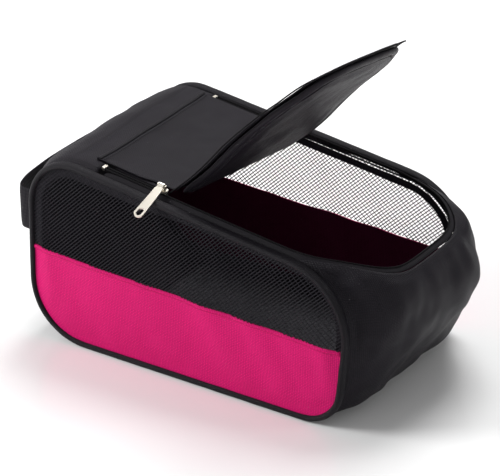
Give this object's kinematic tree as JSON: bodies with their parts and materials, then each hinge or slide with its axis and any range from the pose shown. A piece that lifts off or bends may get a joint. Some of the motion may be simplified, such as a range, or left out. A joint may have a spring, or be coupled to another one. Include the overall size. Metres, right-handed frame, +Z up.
{
  "type": "golf shoe bag",
  "caption": "Soft zip-round shoe bag with mesh-topped side panels, a bowed toe, a fold-back padded lid and a carry strap across the heel.",
  "frame": {"origin": "middle of the flat base, on the face that the bag stands on", "axes": "+X towards the toe end, +Y towards the far side, +Z up out of the base"},
  "size_m": [0.4141, 0.2484, 0.3154],
  "materials": {
    "pink_fabric": "coarse plain-weave oxford, hot pink, satin sheen",
    "black_fabric": "coarse plain-weave oxford, black, dull sheen",
    "mesh_fabric": "open diagonal net, black",
    "lining_fabric": "smooth charcoal lining and seam tape",
    "webbing": "black woven webbing",
    "board": "stiff dark base board",
    "foam": "thin charcoal foam",
    "zip_tape": "woven zip tape, black",
    "zip_teeth": "black coil teeth",
    "pull_metal": "pale satin nickel"
  },
  "bodies": {
    "bag": {"base_panel": "black_fabric", "base_board": "board", "heel_wall": "black_fabric", "rear_top_panel": "black_fabric", "toe_wall": "black_fabric", "body_zip_tape": "zip_tape", "body_zip_teeth": "zip_teeth", "opening_binding": "lining_fabric", "near_rear_zip_tape": "zip_tape", "near_rear_zip_teeth": "zip_teeth", "near_end_stop": "pull_metal", "far_rear_zip_tape": "zip_tape", "far_rear_zip_teeth": "zip_teeth", "far_end_stop": "pull_metal", "near_side_panel": "pink_fabric", "near_mesh_panel": "mesh_fabric", "near_edge_binding": "black_fabric", "near_seam_tape": "lining_fabric", "far_side_panel": "pink_fabric", "far_mesh_panel": "mesh_fabric", "far_edge_binding": "black_fabric", "far_seam_tape": "lining_fabric", "near_handle_anchor": "webbing", "far_handle_anchor": "webbing"},
    "lid": {"lid_panel": "black_fabric", "lid_foam": "foam", "lid_lining": "lining_fabric", "lid_edge_binding": "lining_fabric", "lid_zip_tape": "zip_tape", "lid_zip_teeth": "zip_teeth"},
    "near_slider_body": {"near_slider": "pull_metal"},
    "near_pull_body": {"near_pull": "pull_metal"},
    "far_slider_body": {"far_slider": "pull_metal"},
    "far_pull_body": {"far_pull": "pull_metal"},
    "handle": {"carry_handle": "webbing"}
  },
  "joints": [
    {"name": "lid_fold", "type": "hinge", "parent": "bag", "child": "lid", "pos_m": [-0.00574, 0, 0.17371], "axis": [-0.1478, -0.9888, 0.0193], "range_deg": [-53, 55]},
    {"name": "near_slider_run", "type": "slide", "parent": "bag", "child": "near_slider_body", "axis": [-0.9916, 0, 0.1297], "range_m": [0, 0.052]},
    {"name": "far_slider_run", "type": "slide", "parent": "bag", "child": "far_slider_body", "axis": [-0.9916, 0, 0.1297], "range_m": [0, 0.078]},
    {"name": "near_pull_swing", "type": "hinge", "parent": "near_slider_body", "child": "near_pull_body", "pos_m": [-0.02513, -0.087, 0.18169], "axis": [-0.9916, 0, 0.1297], "range_deg": [0, 75]},
    {"name": "far_pull_swing", "type": "hinge", "parent": "far_slider_body", "child": "far_pull_body", "pos_m": [0.00087, 0.087, 0.17829], "axis": [0.9916, 0, -0.1297], "range_deg": [0, 75]},
    {"name": "handle_swing", "type": "hinge", "parent": "bag", "child": "handle", "pos_m": [-0.1685, 0, 0.118], "axis": [0, 1, 0], "range_deg": [-20, 20]}
  ]
}
